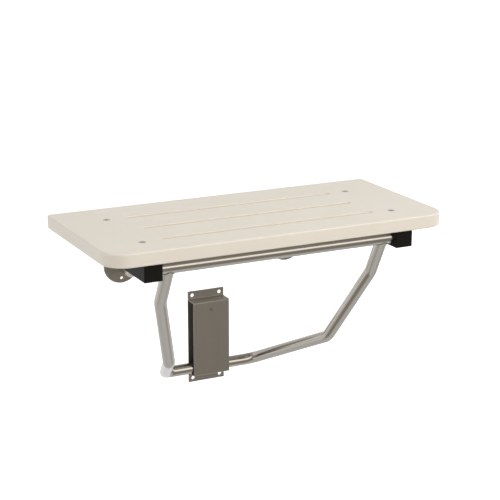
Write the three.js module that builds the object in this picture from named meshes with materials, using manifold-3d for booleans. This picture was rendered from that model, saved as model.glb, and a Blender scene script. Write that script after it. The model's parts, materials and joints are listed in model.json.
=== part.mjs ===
// Wall-mounted folding shower seat.
//
// Millimetres, +Z up. X runs along the wall, the wall is the plane y = 0 and the seat stands out
// from it towards -Y. The origin is the centre of the guide's back plate, on the wall.
//
// Two bent arms on round flanges carry a rear tube. The seat board sits on two black rails that
// turn on that tube. A front tube turns in the rails and carries a bent U-shaped leg, whose bar
// slides up and down in a guide on the wall while the seat folds.

import * as THREE from 'three';
import { mergeVertices } from 'three/addons/utils/BufferGeometryUtils.js';
import Module from 'manifold-3d';

const wasm = await Module();
wasm.setup();

// ---------------------------------------------------------------- driving dimensions

// Seat board
const seatWidth = 752;
const seatDepth = 356;
const seatThickness = 28;
const seatTop = 329; // height of the sitting face above the origin
const seatWallGap = 36; // wall to the board's rear edge
const frontCornerRadius = 48;
const rearCornerRadius = 10;
const boardEdgeRadius = 3;

// Drainage grooves in the sitting face
const grooveLength = 478;
const grooveWidth = 14;
const grooveDepth = 3;
const groovePitch = 91;
const grooveInset = 77.3; // front edge to the first groove's middle
const grooveCount = 3;

// Tube, all of one size
const tubeRadius = 12.7;
const tubeWall = 1.5;
const tubeSides = 20;
const bendStepAngle = Math.PI / 12;
const smallSides = 16; // sides of a screw, washer or small hole

// Rails under the board
const railWidth = 38.5;
const railHeight = 38.5; // both tubes run at half this height
const railOffset = 280; // middle plane to each rail's centre
const railFrontInset = 16; // board's front edge to the rail's front face
const railRearEnd = 20; // rear tube's axis to the rail's rear face
const railEdgeChamfer = 1;
const tubeEndDepth = 20; // length of tube end inside a rail

// Tube axes
const frontTubeInset = 38; // board's front edge to the front tube's axis
const rearTubeOut = 90; // wall to the rear tube's axis, which is the fold's hinge

// Wall flanges and hinge arms
const flangeRadius = 40;
const flangeThickness = 5;
const flangeEdgeRadius = 1.2;
const flangeDrop = 139.5; // sitting face to the flange's centre
const flangeHoleRadius = 3.5;
const flangeHoleCircle = 29;
const flangeHoleCount = 3;
const armOffset = 200; // middle plane to each arm
const armBendRadius = 38;

// U-shaped leg
const legInset = 20.75; // rail's inner face to the centre of the leg's upper end
const kneeLength = 94; // front tube's axis to the knee, along the leg
const heelOffset = 187; // middle plane to the heel bend
const heelOut = 225; // wall to the heel bend
const heelDrop = 292; // sitting face to the heel bend
const barHalf = 106.5; // half the straight bar that runs through the guide
const kneeBendRadius = 40;
const heelBendRadius = 30;
const barBendRadius = 30;
const stubLength = 20; // front tube's axis to the end of its welded sockets

// Guide on the wall
const plateWidth = 87;
const plateThickness = 1.2;
const coverHeight = 172;
const coverRise = 2; // plate's middle to the cover's middle
const coverThickness = 1.5;
const coverBendRadius = 3;
const earHeight = 20.5; // mean height of the ears above and below the cover
const guideHoleRadius = 4.25;
const guideHoleSideInset = 10.5; // plate's side to a hole's centre
const guideHoleEndInset = 9.3; // plate's end to a hole's centre

// Sleeve on the bar, inside the guide
const sleeveHalf = 40;
const sleeveWall = 0.8;

// Holding spring inside the guide's cover
const springWidth = 25;
const springThickness = 0.5;
const springTopInset = 10; // cover's top to the spring's upper end
const springFlat = 22; // upper end to the start of the kink
const springKinkRise = 10; // start of the kink to its crest
const springKinkFall = 12; // crest to the end of the kink
const springTail = 6;
const springKinkDepth = 5;
const rivetInset = 19; // cover's top to the rivet
const rivetRadius = 2;
const rivetHeadRadius = 4;
const rivetHeadHeight = 0.8;

// Seat screws, with a washer and a nut under each rail
const screwRadius = 3;
const screwHeadRadius = 7.5;
const screwHeadDome = 0.6;
const frontScrewInset = 70.5; // board's front edge to the front screws
const rearScrewLead = 40.5; // rear tube's axis to the rear screws
const washerRadius = 6;
const washerThickness = 1.2;
const nutAcrossFlats = 10;
const nutHeight = 5;
const recessDepth = 8; // recess for the nut, in the rail's underside
const recessRadius = 7;

// Clearances
const seatingGap = 0.02; // between faces that bear on each other
const turningGap = 0.3; // round a tube that turns, and round a weld's cut edge
const slidingGap = 0.3; // sleeve to the guide's plate and to its spring
const stopGap = 0.15; // sleeve to the guide's bottom
const holeGap = 0.3; // round a screw, rivet or head
const boreEndGap = 0.5; // tube's end to the bottom of its bore

// ---------------------------------------------------------------- places that follow from them

const seatUnderside = seatTop - seatThickness;
const seatFrontY = -(seatWallGap + seatDepth);
const railTop = seatUnderside - seatingGap;
const railFrontY = seatFrontY + railFrontInset;
const railRearY = -(rearTubeOut - railRearEnd);
const railBottom = railTop - railHeight;
const railInnerX = railOffset - railWidth / 2;
const tubeHeight = railTop - railHeight / 2;
const frontTubeY = seatFrontY + frontTubeInset;
const flangeHeight = seatTop - flangeDrop;
const sleeveRadius = tubeRadius + turningGap + sleeveWall;
const barY = -(plateThickness + slidingGap + sleeveRadius);
const coverTop = coverRise + coverHeight / 2;
const coverBottom = coverRise - coverHeight / 2;
const plateHeight = coverHeight + 2 * earHeight;
const barHeight = coverBottom + coverThickness + stopGap + sleeveRadius;
const springY = barY - sleeveRadius - slidingGap;
const coverInsideY = springY - springThickness - seatingGap;
const springTop = coverTop - springTopInset;
const rivetHeight = coverTop - rivetInset;
const screwRows = [
  ['front', seatFrontY + frontScrewInset],
  ['rear', -(rearTubeOut + rearScrewLead)],
];

const frontTubePoint = new THREE.Vector3(railInnerX - legInset, frontTubeY, tubeHeight);
const heelPoint = new THREE.Vector3(heelOffset, -heelOut, seatTop - heelDrop);
const barPoint = new THREE.Vector3(barHalf, barY, barHeight);
// The knee lies in the plane through the front tube and both heels.
const shinDirection = new THREE.Vector3(0, heelPoint.y - frontTubeY, heelPoint.z - tubeHeight).normalize();
const kneePoint = frontTubePoint.clone().addScaledVector(shinDirection, kneeLength);

// ---------------------------------------------------------------- materials

const finish = (color, roughness, metalness) =>
  new THREE.MeshStandardMaterial({ color, roughness, metalness });
const creamPlastic = finish('#e2dacb', 0.42, 0);
const blackNylon = finish('#262420', 0.55, 0);
const satinTube = finish('#b4afa6', 0.3, 1);
const satinPlate = finish('#8a8278', 0.4, 1);
const plainSteel = finish('#a8a59e', 0.35, 1);
const springSteel = finish('#8f8f8c', 0.3, 1);

// ---------------------------------------------------------------- solids and cuts

function toSolid(geometry) {
  const plain = geometry.clone();
  plain.deleteAttribute('normal');
  plain.deleteAttribute('uv');
  const merged = mergeVertices(plain, 1e-5);
  const vertProperties = new Float32Array(merged.attributes.position.array);
  const triVerts = new Uint32Array(merged.index.array);
  return new wasm.Manifold(new wasm.Mesh({ numProp: 3, vertProperties, triVerts }));
}

function toGeometry(solid) {
  const mesh = solid.getMesh();
  const geometry = new THREE.BufferGeometry();
  geometry.setAttribute('position', new THREE.BufferAttribute(mesh.vertProperties, mesh.numProp));
  geometry.setIndex(new THREE.BufferAttribute(mesh.triVerts, 1));
  return geometry;
}

function cut(geometry, ...tools) {
  let solid = toSolid(geometry);
  for (const tool of tools) {
    solid = solid.subtract(toSolid(tool));
  }
  return toGeometry(solid);
}

function join(...geometries) {
  return toGeometry(geometries.map(toSolid).reduce((whole, piece) => whole.add(piece)));
}

// A box given by its lowest and highest corners.
function block(low, high) {
  const size = high.clone().sub(low);
  const middle = high.clone().add(low).multiplyScalar(0.5);
  return new THREE.BoxGeometry(size.x, size.y, size.z).translate(middle.x, middle.y, middle.z);
}

// A round bar between two points.
function rod(radius, start, end, sides = tubeSides) {
  const along = end.clone().sub(start);
  const geometry = new THREE.CylinderGeometry(radius, radius, along.length(), sides);
  const turn = new THREE.Quaternion().setFromUnitVectors(
    new THREE.Vector3(0, 1, 0),
    along.clone().normalize(),
  );
  const middle = start.clone().addScaledVector(along, 0.5);
  return geometry.applyQuaternion(turn).translate(middle.x, middle.y, middle.z);
}

function circlePoints(radius, sides) {
  const points = [];
  for (let i = 0; i < sides; i += 1) {
    const angle = (2 * Math.PI * i) / sides;
    points.push(new THREE.Vector2(radius * Math.cos(angle), radius * Math.sin(angle)));
  }
  return points;
}

function mirrored(point) {
  return new THREE.Vector3(-point.x, point.y, point.z);
}

// ---------------------------------------------------------------- bent tube

// A centre line of straight runs joined by round bends, with a station at each end of every
// run and at equal angles round every bend.
class BentLine extends THREE.Curve {
  constructor(corners, bendRadii) {
    super();
    this.stations = [];
    const last = corners.length - 1;
    this.addStation(corners[0], corners[1].clone().sub(corners[0]).normalize());
    for (let i = 1; i < last; i += 1) {
      this.addBend(corners[i - 1], corners[i], corners[i + 1], bendRadii[i - 1]);
    }
    this.addStation(corners[last], corners[last].clone().sub(corners[last - 1]).normalize());
  }

  addStation(point, tangent) {
    this.stations.push({ point: point.clone(), tangent: tangent.clone() });
  }

  addBend(before, corner, after, radius) {
    const into = corner.clone().sub(before).normalize();
    const out = after.clone().sub(corner).normalize();
    const angle = into.angleTo(out);
    const inward = out.clone().addScaledVector(into, -into.dot(out)).normalize();
    const start = corner.clone().addScaledVector(into, -radius * Math.tan(angle / 2));
    const steps = Math.ceil(angle / bendStepAngle);
    for (let i = 0; i <= steps; i += 1) {
      const turned = (angle * i) / steps;
      const point = start.clone();
      point.addScaledVector(into, radius * Math.sin(turned));
      point.addScaledVector(inward, radius * (1 - Math.cos(turned)));
      const tangent = into.clone().multiplyScalar(Math.cos(turned));
      this.addStation(point, tangent.addScaledVector(inward, Math.sin(turned)));
    }
  }

  get steps() {
    return this.stations.length - 1;
  }

  station(u) {
    return this.stations[Math.round(u * this.steps)];
  }

  getPoint(u, target = new THREE.Vector3()) {
    return target.copy(this.station(u).point);
  }

  getPointAt(u, target = new THREE.Vector3()) {
    return this.getPoint(u, target);
  }

  getTangentAt(u, target = new THREE.Vector3()) {
    return target.copy(this.station(u).tangent);
  }
}

function tubeSection(outer, inner) {
  const section = new THREE.Shape(circlePoints(outer, tubeSides));
  section.holes.push(new THREE.Path(circlePoints(inner, tubeSides).reverse()));
  return section;
}

function bentTube(corners, bendRadii, outer = tubeRadius, inner = tubeRadius - tubeWall) {
  const line = new BentLine(corners, bendRadii);
  return new THREE.ExtrudeGeometry(tubeSection(outer, inner), { steps: line.steps, extrudePath: line });
}

// ---------------------------------------------------------------- seat board

// The board's outline, drawn with the wall at y = 0.
function boardOutline() {
  const rearX = seatWidth / 2 - rearCornerRadius;
  const rearY = -seatWallGap - rearCornerRadius;
  const frontX = seatWidth / 2 - frontCornerRadius;
  const frontY = seatFrontY + frontCornerRadius;
  const outline = new THREE.Shape();
  outline.absarc(rearX, rearY, rearCornerRadius, 0, Math.PI / 2);
  outline.absarc(-rearX, rearY, rearCornerRadius, Math.PI / 2, Math.PI);
  outline.absarc(-frontX, frontY, frontCornerRadius, Math.PI, 1.5 * Math.PI);
  outline.absarc(frontX, frontY, frontCornerRadius, 1.5 * Math.PI, 2 * Math.PI);
  outline.closePath();
  return outline;
}

// A shallow round-ended channel, standing through the sitting face.
function grooveCutter(y) {
  const radius = grooveWidth / 2;
  const straight = grooveLength / 2 - radius;
  const outline = new THREE.Shape();
  outline.absarc(straight, y, radius, -Math.PI / 2, Math.PI / 2);
  outline.absarc(-straight, y, radius, Math.PI / 2, 1.5 * Math.PI);
  outline.closePath();
  const geometry = new THREE.ExtrudeGeometry(outline, {
    depth: 2 * grooveDepth,
    bevelEnabled: false,
    curveSegments: 6,
  });
  return geometry.translate(0, 0, seatTop - grooveDepth);
}

// The screw's hole with its countersink, both wider than the screw by the hole clearance.
function screwHoleCutter(x, y) {
  const sinkRadius = screwHeadRadius + holeGap;
  const holeRadius = screwRadius + holeGap;
  const sinkDepth = sinkRadius - holeRadius;
  const over = 2; // stands above the sitting face
  const profile = [
    new THREE.Vector2(0, -2 * seatThickness),
    new THREE.Vector2(holeRadius, -2 * seatThickness),
    new THREE.Vector2(holeRadius, -sinkDepth),
    new THREE.Vector2(sinkRadius, 0),
    new THREE.Vector2(sinkRadius, over),
    new THREE.Vector2(0, over),
  ];
  const geometry = new THREE.LatheGeometry(profile, smallSides);
  return geometry.rotateX(Math.PI / 2).translate(x, y, seatTop);
}

function seatBoard() {
  const blank = new THREE.ExtrudeGeometry(boardOutline(), {
    depth: seatThickness - 2 * boardEdgeRadius,
    bevelThickness: boardEdgeRadius,
    bevelSize: boardEdgeRadius,
    bevelOffset: -boardEdgeRadius,
    bevelSegments: 2,
    curveSegments: 6,
  });
  blank.translate(0, 0, seatUnderside + boardEdgeRadius);
  const cutters = [];
  for (let i = 0; i < grooveCount; i += 1) {
    cutters.push(grooveCutter(seatFrontY + grooveInset + i * groovePitch));
  }
  for (const [, y] of screwRows) {
    cutters.push(screwHoleCutter(railOffset, y));
    cutters.push(screwHoleCutter(-railOffset, y));
  }
  return cut(blank, ...cutters);
}

// ---------------------------------------------------------------- rails

// One rail at x = 0, with its tube bores opening towards +X when inward is 1.
function rail(inward) {
  const half = railWidth / 2 - railEdgeChamfer;
  const tall = railHeight - 2 * railEdgeChamfer;
  const outline = new THREE.Shape();
  outline.moveTo(-half, 0);
  outline.lineTo(half, 0);
  outline.lineTo(half, tall);
  outline.lineTo(-half, tall);
  outline.closePath();
  const blank = new THREE.ExtrudeGeometry(outline, {
    depth: railRearY - railFrontY - 2 * railEdgeChamfer,
    bevelThickness: railEdgeChamfer,
    bevelSize: railEdgeChamfer,
    bevelSegments: 1,
  });
  blank.rotateX(Math.PI / 2);
  blank.translate(0, railRearY - railEdgeChamfer, railBottom + railEdgeChamfer);
  const boreRadius = tubeRadius + turningGap;
  const mouth = inward * (railWidth / 2);
  const boreEnd = mouth - inward * (tubeEndDepth + boreEndGap);
  const cutters = [frontTubeY, -rearTubeOut].map((y) =>
    rod(
      boreRadius,
      new THREE.Vector3(boreEnd, y, tubeHeight),
      new THREE.Vector3(mouth + inward, y, tubeHeight),
    ),
  );
  for (const [, y] of screwRows) {
    const low = new THREE.Vector3(0, y, railBottom - 1);
    const high = new THREE.Vector3(0, y, railTop + 1);
    cutters.push(rod(screwRadius + holeGap, low, high, smallSides));
    cutters.push(rod(recessRadius, low, new THREE.Vector3(0, y, railBottom + recessDepth), smallSides));
  }
  return cut(blank, ...cutters);
}

// ---------------------------------------------------------------- screws, washers and nuts

const nutTop = railBottom + recessDepth - washerThickness - 2 * seatingGap;

// A countersunk screw with a low dome; its head's rim is at z = 0.
function seatScrew() {
  const shankEnd = nutTop - seatTop - nutHeight - screwRadius / 2;
  const profile = [
    new THREE.Vector2(0, shankEnd),
    new THREE.Vector2(screwRadius - 0.5, shankEnd),
    new THREE.Vector2(screwRadius, shankEnd + 0.5),
    new THREE.Vector2(screwRadius, screwRadius - screwHeadRadius),
    new THREE.Vector2(screwHeadRadius, 0),
    new THREE.Vector2(screwHeadRadius * 0.6, screwHeadDome * 0.75),
    new THREE.Vector2(0, screwHeadDome),
  ];
  return new THREE.LatheGeometry(profile, smallSides).rotateX(Math.PI / 2);
}

// A flat ring or hexagon with a screw hole; its top face is at z = 0.
function drilledPlate(outline, thickness) {
  outline.holes.push(new THREE.Path(circlePoints(screwRadius + holeGap, smallSides).reverse()));
  const geometry = new THREE.ExtrudeGeometry(outline, { depth: thickness, bevelEnabled: false });
  return geometry.translate(0, 0, -thickness);
}

function seatWasher() {
  return drilledPlate(new THREE.Shape(circlePoints(washerRadius, smallSides)), washerThickness);
}

function seatNut() {
  const cornerRadius = nutAcrossFlats / Math.sqrt(3);
  return drilledPlate(new THREE.Shape(circlePoints(cornerRadius, 6)), nutHeight);
}

// ---------------------------------------------------------------- wall flanges and arms

// A round plate against the wall, with its axis along -Y and its middle at the origin.
function wallFlange() {
  const profile = [
    new THREE.Vector2(0, 0),
    new THREE.Vector2(flangeRadius, 0),
    new THREE.Vector2(flangeRadius, flangeThickness - flangeEdgeRadius),
    new THREE.Vector2(flangeRadius - flangeEdgeRadius, flangeThickness),
    new THREE.Vector2(0, flangeThickness),
  ];
  const plate = new THREE.LatheGeometry(profile, 2 * smallSides);
  plate.rotateX(Math.PI);
  const holes = [];
  for (let i = 0; i < flangeHoleCount; i += 1) {
    const angle = -Math.PI / 2 + (2 * Math.PI * i) / flangeHoleCount;
    const x = flangeHoleCircle * Math.cos(angle);
    const z = flangeHoleCircle * Math.sin(angle);
    const back = new THREE.Vector3(x, 1, z);
    const front = new THREE.Vector3(x, -flangeThickness - 1, z);
    holes.push(rod(flangeHoleRadius, back, front, smallSides));
  }
  return cut(plate, ...holes);
}

// A tube that runs out from the flange's face and bends up under the rear tube, at x = 0.
function hingeArm() {
  const tube = bentTube(
    [
      new THREE.Vector3(0, -flangeThickness - seatingGap, flangeHeight),
      new THREE.Vector3(0, -rearTubeOut, flangeHeight),
      new THREE.Vector3(0, -rearTubeOut, tubeHeight),
    ],
    [armBendRadius],
  );
  const saddle = rod(
    tubeRadius + turningGap,
    new THREE.Vector3(-2 * tubeRadius, -rearTubeOut, tubeHeight),
    new THREE.Vector3(2 * tubeRadius, -rearTubeOut, tubeHeight),
  );
  return cut(tube, saddle);
}

// A straight tube along X, centred on the middle plane, whose ends sit in both rails.
function crossTube() {
  const half = railInnerX + tubeEndDepth;
  return bentTube([new THREE.Vector3(-half, 0, 0), new THREE.Vector3(half, 0, 0)], []);
}

// ---------------------------------------------------------------- front tube and leg

// A short socket on the front tube that meets the leg's upper end, as an outer or inner rod.
function socketRod(corner, radius, start, end) {
  const direction = new THREE.Vector3(0, shinDirection.y, shinDirection.z);
  const centre = new THREE.Vector3(corner.x, 0, 0);
  return rod(
    radius,
    centre.clone().addScaledVector(direction, start),
    centre.clone().addScaledVector(direction, end),
  );
}

// The front tube with a socket welded on at each side; its axis is at y = 0 and z = 0.
function frontTube() {
  const half = railInnerX + tubeEndDepth;
  const ends = [new THREE.Vector3(-half, 0, 0), new THREE.Vector3(half, 0, 0)];
  const header = rod(tubeRadius, ends[0], ends[1]);
  const sides = [frontTubePoint, mirrored(frontTubePoint)];
  const sockets = sides.map((corner) => socketRod(corner, tubeRadius, 0, stubLength));
  const socketBores = sides.map((corner) =>
    cut(socketRod(corner, tubeRadius - tubeWall, 0, stubLength + 1), header),
  );
  const outside = cut(join(header, ...sockets), ...socketBores);
  const reach = new THREE.Vector3(1, 0, 0);
  const bore = rod(tubeRadius - tubeWall, ends[0].clone().sub(reach), ends[1].clone().add(reach));
  return cut(outside, bore);
}

function legTube() {
  const top = frontTubePoint.clone().addScaledVector(shinDirection, stubLength + turningGap);
  const half = [top, kneePoint, heelPoint, barPoint];
  const corners = [...half, ...half.map(mirrored).reverse()];
  const radii = [kneeBendRadius, heelBendRadius, barBendRadius];
  return bentTube(corners, [...radii, ...radii.slice().reverse()]);
}

// ---------------------------------------------------------------- guide

function guideHoles(depth) {
  const holeX = plateWidth / 2 - guideHoleSideInset;
  const holeZ = plateHeight / 2 - guideHoleEndInset;
  const holes = [];
  for (const x of [-holeX, holeX]) {
    for (const z of [-holeZ, holeZ]) {
      const back = new THREE.Vector3(x, 1, z);
      holes.push(rod(guideHoleRadius, back, new THREE.Vector3(x, -depth, z), smallSides));
    }
  }
  return holes;
}

function guideBackPlate() {
  const low = new THREE.Vector3(-plateWidth / 2, -plateThickness, -plateHeight / 2);
  const high = new THREE.Vector3(plateWidth / 2, 0, plateHeight / 2);
  return cut(block(low, high), ...guideHoles(plateThickness + 1));
}

// The cover's wall as a closed outline across the guide. The first coordinate is the height
// and the second the distance from the wall.
function coverOutline() {
  const foot = plateThickness + seatingGap;
  const inside = -coverInsideY;
  const top = coverTop;
  const bottom = coverBottom;
  const end = plateHeight / 2;
  const t = coverThickness;
  const r = coverBendRadius;
  const outline = new THREE.Shape();
  outline.moveTo(end, foot);
  outline.lineTo(end, foot + t);
  outline.lineTo(top + r - t, foot + t);
  outline.absarc(top + r - t, foot + r, r - t, 1.5 * Math.PI, Math.PI, true);
  outline.lineTo(top, inside + t - r);
  outline.absarc(top - r, inside + t - r, r, 0, Math.PI / 2);
  outline.lineTo(bottom + r, inside + t);
  outline.absarc(bottom + r, inside + t - r, r, Math.PI / 2, Math.PI);
  outline.lineTo(bottom, foot + r);
  outline.absarc(bottom + t - r, foot + r, r - t, 0, 1.5 * Math.PI, true);
  outline.lineTo(-end, foot + t);
  outline.lineTo(-end, foot);
  outline.lineTo(bottom + t - r, foot);
  outline.absarc(bottom + t - r, foot + r, r, 1.5 * Math.PI, 2 * Math.PI);
  outline.lineTo(bottom + t, inside + t - r);
  outline.absarc(bottom + r, inside + t - r, r - t, Math.PI, Math.PI / 2, true);
  outline.lineTo(top - r, inside);
  outline.absarc(top - r, inside + t - r, r - t, Math.PI / 2, 0, true);
  outline.lineTo(top - t, foot + r);
  outline.absarc(top + r - t, foot + r, r, Math.PI, 1.5 * Math.PI);
  outline.closePath();
  return outline;
}

// Stands an outline of (height, distance from the wall) up and gives it a width along X.
function acrossGuide(outline, width) {
  const geometry = new THREE.ExtrudeGeometry(outline, {
    depth: width,
    bevelEnabled: false,
    curveSegments: 3,
  });
  const upright = new THREE.Matrix4().set(0, 0, 1, -width / 2, 0, -1, 0, 0, 1, 0, 0, 0, 0, 0, 0, 1);
  return geometry.applyMatrix4(upright);
}

function rivetHole() {
  const outside = coverInsideY - coverThickness - 1;
  return rod(
    rivetRadius + holeGap,
    new THREE.Vector3(0, springY + 1, rivetHeight),
    new THREE.Vector3(0, outside, rivetHeight),
    smallSides,
  );
}

function guideCover() {
  const folded = acrossGuide(coverOutline(), plateWidth);
  return cut(folded, ...guideHoles(plateThickness + coverThickness + 1), rivetHole());
}

// A leaf riveted inside the cover's face, with a kink under the place of the raised bar.
function guideSpring() {
  const near = -springY;
  const kinkTop = springTop - springFlat;
  const crest = kinkTop - springKinkRise;
  const kinkEnd = crest - springKinkFall;
  const line = [
    [springTop, near],
    [kinkTop, near],
    [crest, near - springKinkDepth],
    [kinkEnd, near],
    [kinkEnd - springTail, near],
  ];
  const front = line.map(([height, out]) => new THREE.Vector2(height, out + springThickness));
  const back = line.map(([height, out]) => new THREE.Vector2(height, out));
  const outline = new THREE.Shape([...front, ...back.reverse()]);
  return cut(acrossGuide(outline, springWidth), rivetHole());
}

// A flush rivet with a low head on the cover's face, with its axis along Y.
function springRivet() {
  const faceY = coverInsideY - coverThickness;
  const profile = [
    new THREE.Vector2(0, 0),
    new THREE.Vector2(rivetRadius, 0),
    new THREE.Vector2(rivetRadius, springY - faceY + seatingGap),
    new THREE.Vector2(rivetHeadRadius, springY - faceY + seatingGap),
    new THREE.Vector2(rivetHeadRadius * 0.7, springY - faceY + rivetHeadHeight),
    new THREE.Vector2(0, springY - faceY + rivetHeadHeight),
  ];
  const rivet = new THREE.LatheGeometry(profile, smallSides).rotateX(Math.PI);
  return rivet.translate(0, springY, rivetHeight);
}

// The plain sleeve in which the bar turns, at x = 0 on the bar's axis.
function guideSleeve() {
  const ends = [new THREE.Vector3(-sleeveHalf, 0, 0), new THREE.Vector3(sleeveHalf, 0, 0)];
  return bentTube(ends, [], sleeveRadius, tubeRadius + turningGap);
}

// ---------------------------------------------------------------- assembly

function named(name, geometry, material, x = 0, y = 0, z = 0) {
  const mesh = new THREE.Mesh(geometry, material);
  mesh.name = name;
  mesh.position.set(x, y, z);
  return mesh;
}

const sideNames = [
  ['left', -1],
  ['right', 1],
];

function wallFrame() {
  const group = new THREE.Group();
  for (const [side, sign] of sideNames) {
    group.add(named(`wall_flange_${side}`, wallFlange(), satinPlate, sign * armOffset, 0, flangeHeight));
    group.add(named(`hinge_arm_${side}`, hingeArm(), satinTube, sign * armOffset));
  }
  group.add(named('rear_tube', crossTube(), satinTube, 0, -rearTubeOut, tubeHeight));
  return group;
}

function seatAssembly() {
  const group = new THREE.Group();
  group.add(named('seat_board', seatBoard(), creamPlastic));
  for (const [side, sign] of sideNames) {
    group.add(named(`rail_${side}`, rail(-sign), blackNylon, sign * railOffset));
    for (const [row, y] of screwRows) {
      const x = sign * railOffset;
      const washerTop = nutTop + washerThickness + seatingGap;
      group.add(named(`seat_screw_${row}_${side}`, seatScrew(), plainSteel, x, y, seatTop));
      group.add(named(`seat_washer_${row}_${side}`, seatWasher(), plainSteel, x, y, washerTop));
      group.add(named(`seat_nut_${row}_${side}`, seatNut(), plainSteel, x, y, nutTop));
    }
  }
  return group;
}

function supportLeg() {
  const group = new THREE.Group();
  group.add(named('front_tube', frontTube(), satinTube, 0, frontTubeY, tubeHeight));
  group.add(named('leg_tube', legTube(), satinTube));
  return group;
}

function wallGuide() {
  const group = new THREE.Group();
  group.add(named('guide_back_plate', guideBackPlate(), satinPlate));
  group.add(named('guide_cover', guideCover(), satinPlate));
  group.add(named('guide_spring', guideSpring(), springSteel));
  group.add(named('spring_rivet', springRivet(), plainSteel));
  group.add(named('guide_sleeve', guideSleeve(), blackNylon, 0, barY, barHeight));
  return group;
}

const foldingSeat = new THREE.Group();
foldingSeat.add(wallFrame(), seatAssembly(), supportLeg(), wallGuide());

export default foldingSeat;
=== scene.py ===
import json
import math

import bmesh
import bpy
from mathutils import Matrix, Vector


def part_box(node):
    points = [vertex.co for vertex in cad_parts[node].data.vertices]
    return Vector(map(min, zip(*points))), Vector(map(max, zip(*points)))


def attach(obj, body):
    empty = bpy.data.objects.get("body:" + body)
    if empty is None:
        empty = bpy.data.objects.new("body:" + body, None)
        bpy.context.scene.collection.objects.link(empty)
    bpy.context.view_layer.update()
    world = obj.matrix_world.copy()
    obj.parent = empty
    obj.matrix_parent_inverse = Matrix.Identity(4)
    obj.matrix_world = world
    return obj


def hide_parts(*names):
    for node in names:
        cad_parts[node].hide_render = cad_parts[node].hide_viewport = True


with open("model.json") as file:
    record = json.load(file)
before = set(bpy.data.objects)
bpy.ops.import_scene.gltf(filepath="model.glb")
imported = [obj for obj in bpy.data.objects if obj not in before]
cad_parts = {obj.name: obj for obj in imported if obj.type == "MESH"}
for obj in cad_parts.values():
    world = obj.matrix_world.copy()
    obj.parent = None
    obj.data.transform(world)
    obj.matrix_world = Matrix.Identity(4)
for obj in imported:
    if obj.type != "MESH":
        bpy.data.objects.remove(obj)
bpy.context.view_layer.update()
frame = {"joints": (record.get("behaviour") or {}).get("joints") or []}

# ------------------------------------------------------------------ sizes, in metres

MM = 0.001

joint_place = {joint["name"]: joint.get("pos_m") for joint in frame["joints"]}
HINGE_AXIS = Vector(joint_place["seat_fold"])
FRONT_AXIS = Vector(joint_place["front_tube_turn"])
BAR_AXIS = Vector(joint_place["leg_turn"])

BOARD_LOW, BOARD_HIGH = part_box("seat_board")
REAR_TUBE_LOW, REAR_TUBE_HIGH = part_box("rear_tube")
_, LEG_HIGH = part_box("leg_tube")
PLATE_LOW, PLATE_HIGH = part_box("guide_back_plate")
COVER_LOW, COVER_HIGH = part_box("guide_cover")
SPRING_LOW, SPRING_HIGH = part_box("guide_spring")
SLEEVE_LOW, SLEEVE_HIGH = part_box("guide_sleeve")

# Seat board
BOARD_EDGE = 3.0 * MM
FRONT_CORNER = 48 * MM
REAR_CORNER = 10 * MM
GROOVE_LENGTH = 478 * MM
GROOVE_WIDTH = 14 * MM
GROOVE_DEPTH = 3.0 * MM
GROOVE_PITCH = 91 * MM
GROOVE_INSET = 77.3 * MM
GROOVE_LIP = 0.8 * MM

# Tubes, arms and leg
TUBE_RADIUS = (REAR_TUBE_HIGH.z - REAR_TUBE_LOW.z) / 2
TUBE_WALL = 1.5 * MM
BEND_STEP = math.radians(4)
ARM_BEND = 38 * MM
KNEE_BEND = 40 * MM
HEEL_BEND = 30 * MM
BAR_BEND = 30 * MM
KNEE_LENGTH = 94 * MM
HEEL = Vector((187, -225, 37)) * MM
BAR_HALF = 106.5 * MM
WELD_RADIUS = 1.7 * MM
WELD_RIPPLE = 2.2 * MM
# The share of the tube's radius by which an end goes into the tube it is welded to.
ARM_SINK = 0.6
LEG_SINK = 0.65

# Rails
RAIL_EDGE = 1.4 * MM
RAIL_CORNER = 2 * MM
BORE_GAP = 0.3 * MM
BORE_FLARE = 0.9 * MM

# Wall flanges
FLANGE_RIM = 2.4 * MM
FLANGE_BACK_EDGE = 0.3 * MM
FLANGE_HOLE = 3.5 * MM
FLANGE_HOLE_CIRCLE = 29 * MM

# Guide
SHEET = 1.5 * MM
SHEET_BEND = 3 * MM
EAR_HOLE = 4.25 * MM
EAR_HOLE_SIDE = 10.5 * MM
EAR_HOLE_END = 9.3 * MM
SHEET_EDGE = 0.25 * MM
COVER_HEIGHT = 172 * MM
COVER_RISE = 2 * MM
SPRING_LEAF = 0.5 * MM
SPRING_HUMP_DROP = 32 * MM
SPRING_HUMP_HALF = 13 * MM
RIVET_PIN = 2 * MM
RIVET_HEAD_HEIGHT = 0.8 * MM

# Fasteners
SCREW_HEAD = 7.5 * MM
SCREW_HEAD_RIM = 0.25 * MM
SCREW_SHANK = 3 * MM
THREAD_PITCH = 1.0 * MM
THREAD_DEPTH = 0.45 * MM
THREAD_TURNS = 14
HOLE_GAP = 0.3 * MM
NUT_ACROSS_FLATS = 10 * MM
# The share of the width across flats that the chamfer leaves on a nut's two faces.
NUT_FACE = 0.97
RECESS_RADIUS = 7 * MM

# Faces that meet more steeply than this show an edge.
SHARP_ANGLE = math.radians(32)

# Camera and room
VIEW_DIRECTION = Vector((0.4288, 0.8619, -0.2706)).normalized()
CAMERA_PLACE = Vector((-1.3293, -2.8960, 1.09235))
CAMERA_LENS = 107.6
FLOOR_HEIGHT = -0.16
COVE_RADIUS = 14
COVE_BEND = 3
COVE_HEIGHT = 12


# ------------------------------------------------------------------ finishes

def linear(hex_colour):
    """An sRGB hex colour as linear red, green, blue and alpha."""
    channels = [int(hex_colour[i:i + 2], 16) / 255 for i in (1, 3, 5)]
    return [c / 12.92 if c <= 0.04045 else ((c + 0.055) / 1.055) ** 2.4 for c in channels] + [1.0]


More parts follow.
